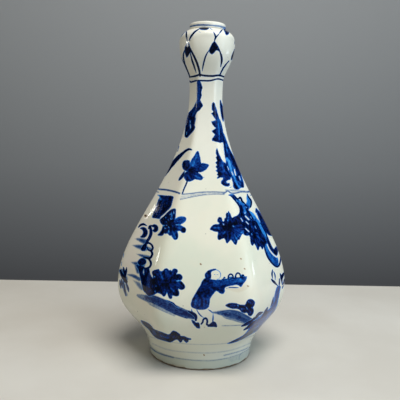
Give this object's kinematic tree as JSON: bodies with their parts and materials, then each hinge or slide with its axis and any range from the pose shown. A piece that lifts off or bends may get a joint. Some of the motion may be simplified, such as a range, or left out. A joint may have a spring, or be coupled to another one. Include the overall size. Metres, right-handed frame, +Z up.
{
  "type": "garlic head vase",
  "caption": "Six-sided pear-shaped porcelain bottle vase on a round foot, with a slender neck and a garlic bulb mouth, painted in underglaze blue.",
  "frame": {"origin": "centre of the foot on the table", "axes": "+Z up along the vase's axis, -Y out of the middle of one broad face, +X through a ridge"},
  "size_m": [0.146, 0.1308, 0.28],
  "materials": {
    "glazed_porcelain": "clear glossy glaze over blue painting",
    "foot_porcelain": "glossy glaze with a bare foot edge",
    "luting_slip": "fired slip"
  },
  "bodies": {
    "root": {"foot_ring": "foot_porcelain", "foot_slip": "luting_slip", "lower_body": "glazed_porcelain", "belly_slip": "luting_slip", "upper_body": "glazed_porcelain", "shoulder_slip": "luting_slip", "neck": "glazed_porcelain", "head_slip": "luting_slip", "garlic_head": "glazed_porcelain", "rim_slip": "luting_slip", "mouth_rim": "glazed_porcelain"}
  },
  "joints": []
}
